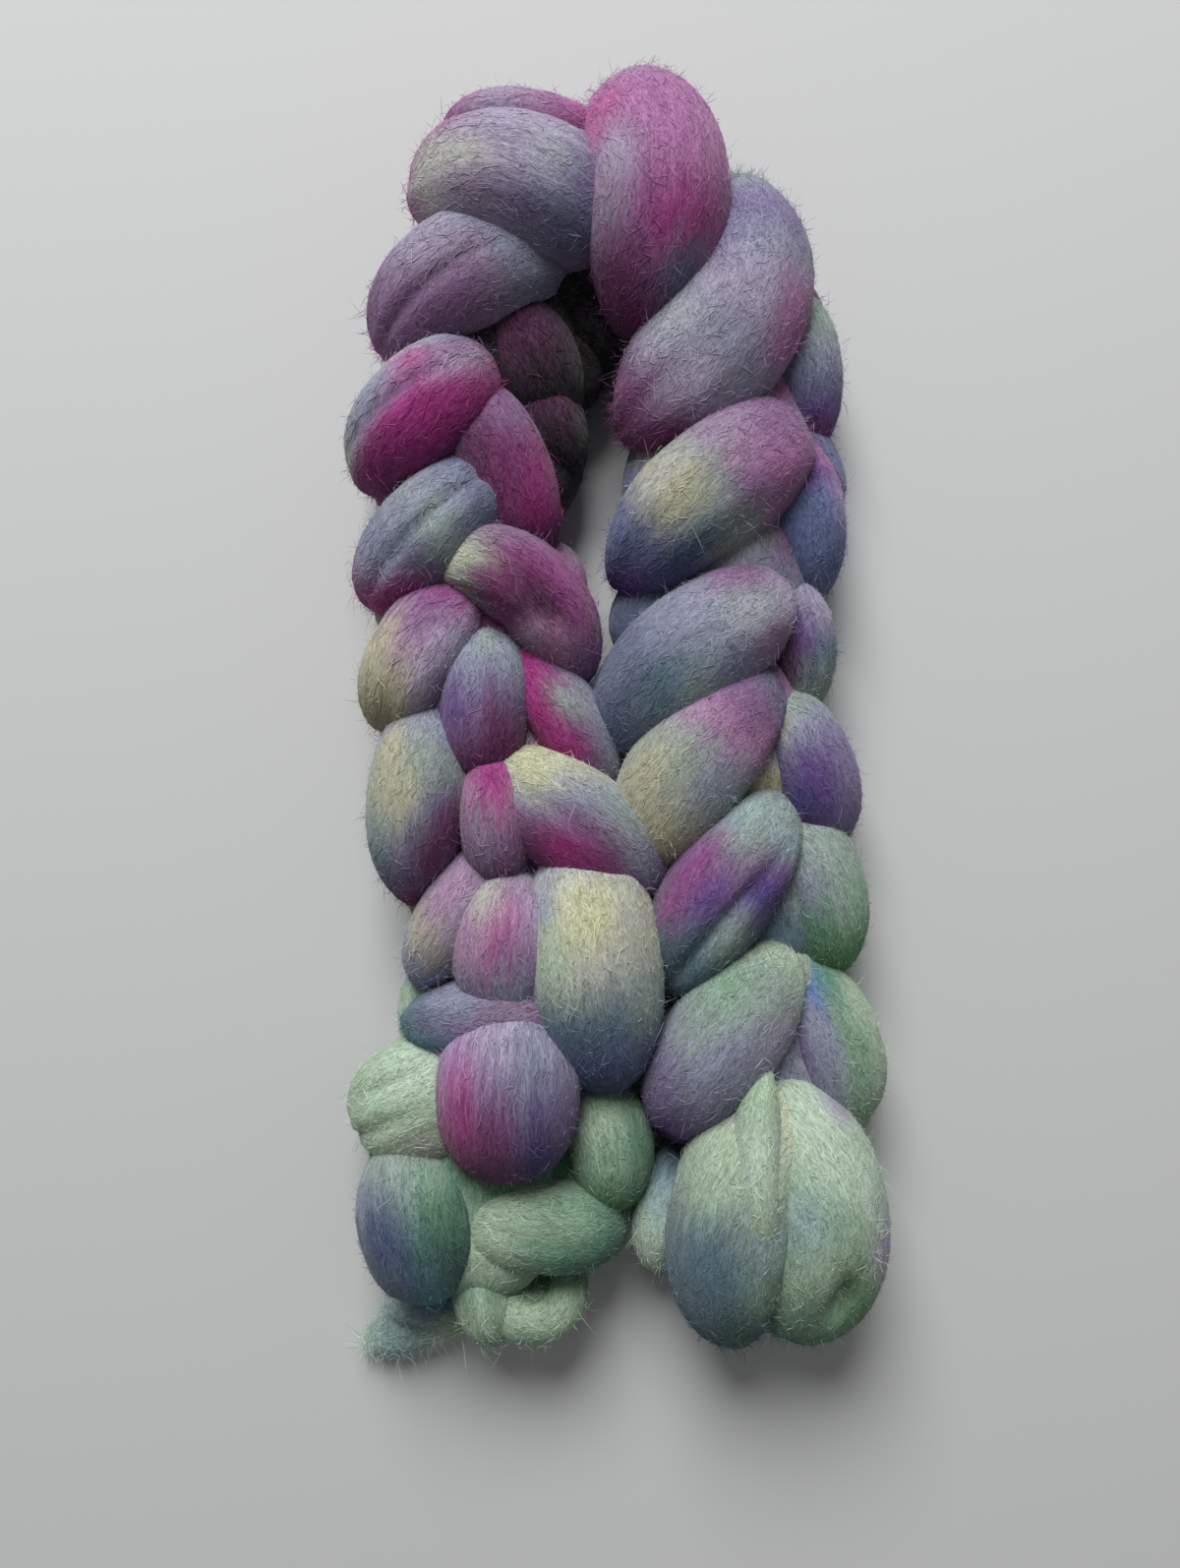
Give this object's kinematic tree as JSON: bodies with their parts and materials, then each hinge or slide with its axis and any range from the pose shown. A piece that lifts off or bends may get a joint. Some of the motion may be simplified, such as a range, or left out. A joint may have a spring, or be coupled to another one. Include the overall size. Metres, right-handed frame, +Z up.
{
  "type": "braid of wool roving",
  "caption": "Chain-plaited braid of hand-dyed wool roving, bent back beside itself over its middle, with plump overlapping folds and a short loose end.",
  "frame": {"origin": "the middle of the braid's box, on the table that it rests on", "axes": "+Z up, +Y along both limbs towards the bend, +X to the right seen from above with the bend at the top"},
  "size_m": [0.1783, 0.4255, 0.07],
  "materials": {
    "roving": "matt combed wool fibres"
  },
  "bodies": {
    "root": {"roving_braid": "roving"}
  },
  "joints": []
}
